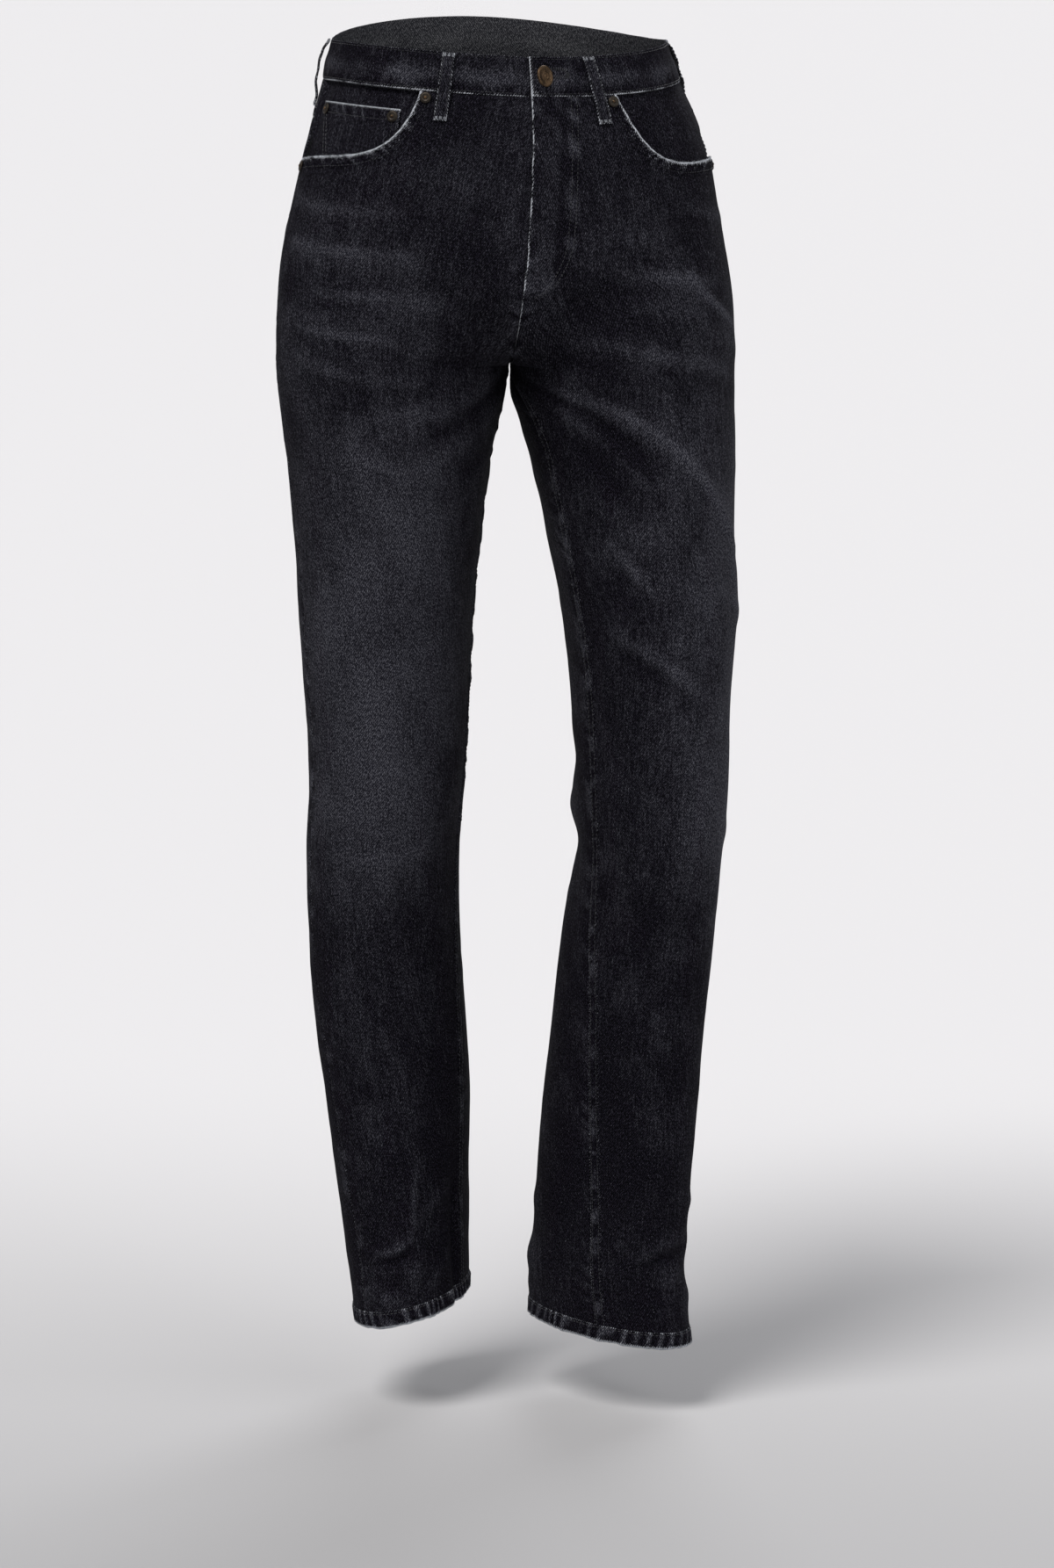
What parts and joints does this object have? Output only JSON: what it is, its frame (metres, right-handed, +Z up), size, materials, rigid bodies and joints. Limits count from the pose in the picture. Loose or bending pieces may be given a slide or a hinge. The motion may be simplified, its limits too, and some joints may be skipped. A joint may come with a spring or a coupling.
{
  "type": "straight leg jeans",
  "caption": "Straight leg denim trousers in their worn, filled-out shape, hollow and open at the waist and hems, with scoop front pockets and a closed fly.",
  "frame": {"origin": "centre of the waist opening, level with the waistband's top edge at the side seams", "axes": "+Z up, -Y towards the front, +X towards the wearer's left"},
  "size_m": [0.3694, 0.2393, 1.0777],
  "materials": {
    "denim": "washed black cotton twill, matt",
    "metal": "aged, satin"
  },
  "bodies": {
    "root": {"front_left": "denim", "front_right": "denim", "back_left": "denim", "back_right": "denim", "yoke_left": "denim", "yoke_right": "denim", "waistband": "denim", "fly_flap": "denim", "pocket_facing_left": "denim", "pocket_facing_right": "denim", "coin_pocket": "denim", "seat_pocket_left": "denim", "seat_pocket_right": "denim", "hem_left": "denim", "hem_right": "denim", "belt_loop_front_left": "denim", "belt_loop_front_right": "denim", "belt_loop_side_left": "denim", "belt_loop_side_right": "denim", "belt_loop_back": "denim", "rivet_left_inner": "metal", "rivet_left_outer": "metal", "rivet_right_inner": "metal", "rivet_right_outer": "metal", "rivet_coin_inner": "metal", "rivet_coin_outer": "metal", "button": "metal"}
  },
  "joints": []
}
